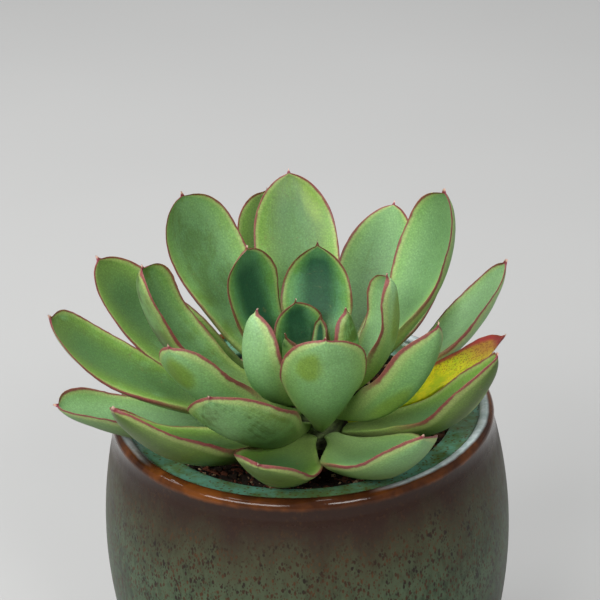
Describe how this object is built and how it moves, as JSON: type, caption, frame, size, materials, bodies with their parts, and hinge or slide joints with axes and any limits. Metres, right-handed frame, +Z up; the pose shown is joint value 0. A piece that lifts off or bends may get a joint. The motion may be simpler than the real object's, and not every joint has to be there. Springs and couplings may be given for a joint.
{
  "type": "potted echeveria",
  "caption": "Rosette of fleshy red-edged succulent leaves on a short stem, standing in the growing mix of a round glazed stoneware pot with a flat foot.",
  "frame": {"origin": "centre of the pot's flat foot, on the surface that it stands on", "axes": "+Z up along the pot's axis; -Y is the side that the picture shows, +X is to the right there"},
  "size_m": [0.106, 0.105, 0.137],
  "materials": {
    "pot_glaze": "glossy reactive glaze: mottled grey-green with brown specks, a dark maroon band under an amber lip, turquoise inside the lip",
    "growing_mix": "dark moist peat and bark, rough",
    "stem": "dull pale brown-green, rough",
    "leaf": "fleshy leaf, satin grey-green with a crimson margin and a paler underside",
    "young_leaf": "fleshy leaf, satin blue-green with a crimson margin",
    "withered_leaf": "thin dying leaf, yellow turning orange-brown towards its tip"
  },
  "bodies": {
    "root": {"pot": "pot_glaze", "growing_mix": "growing_mix", "stem": "stem", "leaf_left_lowest": "leaf", "leaf_front_left_lowest": "leaf", "leaf_front_lowest": "leaf", "leaf_front_right_lowest": "leaf", "leaf_right_front_lowest": "leaf", "leaf_right_yellowed": "withered_leaf", "leaf_back_right_low": "leaf", "leaf_back_low": "leaf", "leaf_left_low": "leaf", "leaf_back_left_low": "leaf", "leaf_right_low": "leaf", "leaf_front_left_low": "leaf", "leaf_front_upright": "leaf", "leaf_back_right_short": "leaf", "leaf_front_left_raised": "leaf", "leaf_left_raised": "leaf", "leaf_front_right_raised": "leaf", "leaf_back_left_tall": "leaf", "leaf_back_tallest": "leaf", "leaf_right_tall": "leaf", "leaf_inner_front_left": "leaf", "leaf_inner_right": "leaf", "leaf_inner_back_left": "young_leaf", "leaf_inner_back": "young_leaf", "leaf_inner_front_right": "leaf", "leaf_heart_back_left": "young_leaf", "leaf_heart_right": "young_leaf", "leaf_heart_front_left": "young_leaf"}
  },
  "joints": []
}
